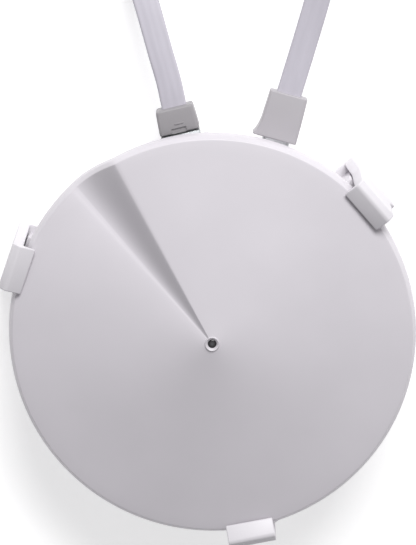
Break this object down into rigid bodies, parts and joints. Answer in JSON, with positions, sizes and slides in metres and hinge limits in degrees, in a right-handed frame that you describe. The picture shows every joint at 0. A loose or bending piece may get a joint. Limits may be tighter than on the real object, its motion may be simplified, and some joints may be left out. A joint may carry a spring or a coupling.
{
  "type": "wireless router",
  "caption": "Round mesh wireless router with a spiral face, held in a three-claw wall bracket, with a network lead and a power lead.",
  "frame": {"origin": "middle of the bracket's flat back face, on the router's axis", "axes": "+Z out of the router's face, +Y towards the side that the two leads leave by"},
  "size_m": [0.1234, 0.28, 0.0398],
  "materials": {
    "cover": "satin moulded plastic",
    "bracket": "satin moulded plastic",
    "rubber": "matte",
    "board": "solder mask",
    "chip": "matte",
    "steel": "brushed",
    "gold": "plated",
    "guide": "clear moulded",
    "boot": "soft-touch moulded",
    "clear": "clear moulded",
    "cord": "satin sheath",
    "tie": "woven strap"
  },
  "bodies": {
    "root": {"top_cover": "cover", "base_cover": "cover", "main_board": "board", "network_jack": "steel", "power_jack": "steel", "radio_shield": "steel", "processor_shield": "steel", "memory_chip": "chip", "power_coil_block": "chip", "heat_spreader": "steel", "status_light": "guide", "light_pipe": "guide", "antenna_1": "gold", "antenna_2": "gold", "antenna_3": "gold", "antenna_4": "gold", "reset_switch": "chip", "bracket_plate": "bracket", "network_plug": "clear", "network_boot": "boot", "network_cord": "cord", "network_coil": "cord", "network_tie": "tie", "far_plug": "clear", "far_boot": "boot", "cover_screw_1": "steel", "rubber_foot_1": "rubber", "cover_screw_2": "steel", "rubber_foot_2": "rubber", "cover_screw_3": "steel", "rubber_foot_3": "rubber", "cover_screw_4": "steel", "rubber_foot_4": "rubber"},
    "claw_1": {"snap_claw_1": "bracket"},
    "claw_2": {"snap_claw_2": "bracket"},
    "claw_3": {"snap_claw_3": "bracket"},
    "reset": {"reset_button": "rubber"},
    "latch": {"network_latch": "clear"},
    "spare_latch": {"far_latch": "clear"},
    "power_lead": {"power_plug_shell": "steel", "power_plug_grip": "boot", "power_cord": "cord", "power_coil": "cord", "power_tie": "tie", "adapter_case": "cover", "adapter_face": "cover", "adapter_relief": "boot", "adapter_prong_1": "steel", "adapter_prong_2": "steel"}
  },
  "joints": [
    {"name": "claw_1_flex", "type": "hinge", "parent": "root", "child": "claw_1", "pos_m": [0.04815, 0.04186, 0.0033], "axis": [-0.6561, 0.7547, 0], "range_deg": [0, 7], "stiffness_Nm_per_rad": 0.6},
    {"name": "claw_2_flex", "type": "hinge", "parent": "root", "child": "claw_2", "pos_m": [-0.06032, 0.02077, 0.0033], "axis": [-0.3256, -0.9455, 0], "range_deg": [0, 7], "stiffness_Nm_per_rad": 0.6},
    {"name": "claw_3_flex", "type": "hinge", "parent": "root", "child": "claw_3", "pos_m": [0.01217, -0.06263, 0.0033], "axis": [0.9816, 0.1908, 0], "range_deg": [0, 7], "stiffness_Nm_per_rad": 0.6},
    {"name": "latch_press", "type": "hinge", "parent": "root", "child": "latch", "pos_m": [-0.00609, 0.04484, 0.02005], "axis": [-0.9724, -0.2334, 0], "range_deg": [0, 6], "stiffness_Nm_per_rad": 0.05},
    {"name": "spare_latch_press", "type": "hinge", "parent": "root", "child": "spare_latch", "pos_m": [-0.0046, 0.14415, 0.006], "axis": [0, 0, 1], "range_deg": [0, 6], "stiffness_Nm_per_rad": 0.05},
    {"name": "reset_press", "type": "slide", "parent": "root", "child": "reset", "axis": [0, 0, 1], "range_m": [0, 0.0006], "stiffness_N_per_m": 400},
    {"name": "power_plug_pull", "type": "slide", "parent": "root", "child": "power_lead", "axis": [0.2672, 0.9636, 0], "range_m": [0, 0.009]}
  ]
}
